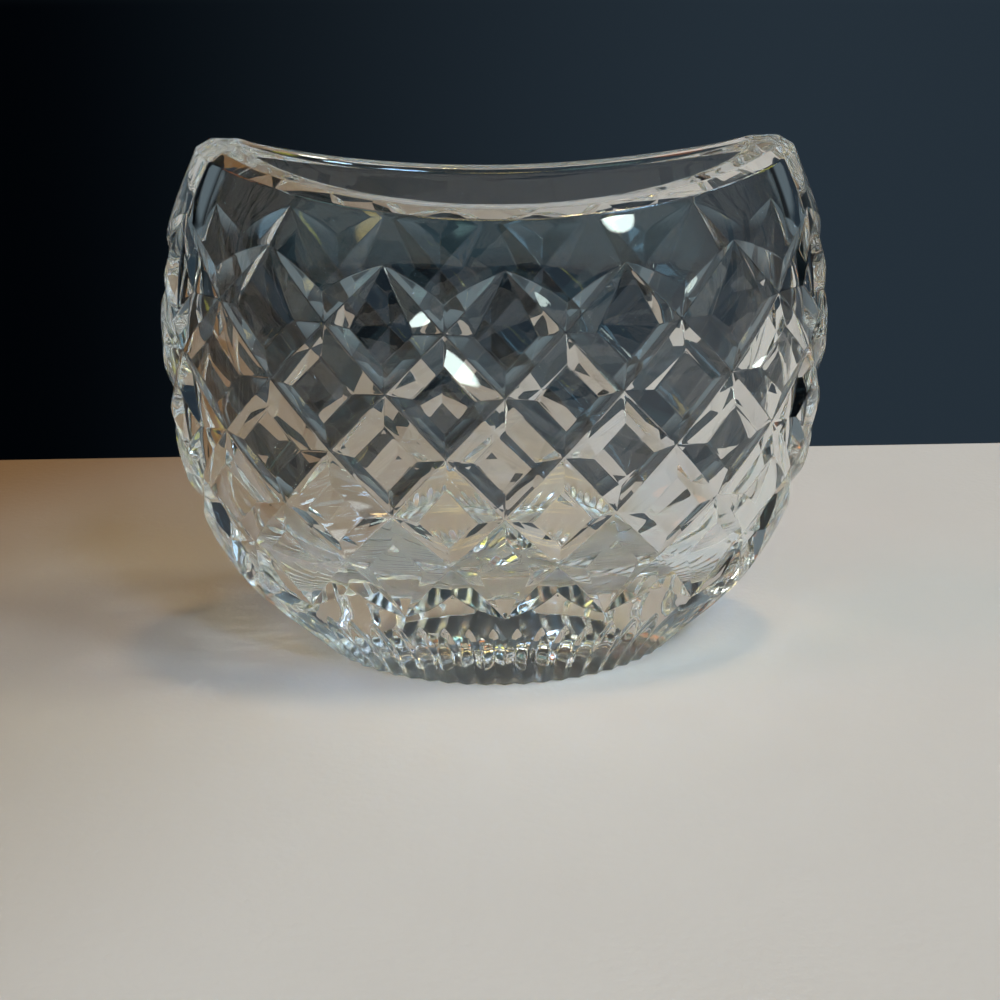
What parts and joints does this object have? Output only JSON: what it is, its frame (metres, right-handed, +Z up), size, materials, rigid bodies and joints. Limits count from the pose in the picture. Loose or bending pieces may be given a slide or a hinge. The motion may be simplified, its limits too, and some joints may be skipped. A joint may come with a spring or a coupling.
{
  "type": "cut glass bowl",
  "caption": "Flattened oval crystal bowl with a dipped rim, a cut diamond lattice on the body, a fluted foot and a star cut under the base.",
  "frame": {"origin": "middle of the foot, on the table", "axes": "+Z up through the mouth, +X along the bowl's wide way, +Y towards its back, so -Y faces the front"},
  "size_m": [0.19, 0.0882, 0.1464],
  "materials": {
    "crystal": "polished"
  },
  "bodies": {
    "root": {"crystal_bowl": "crystal"}
  },
  "joints": []
}
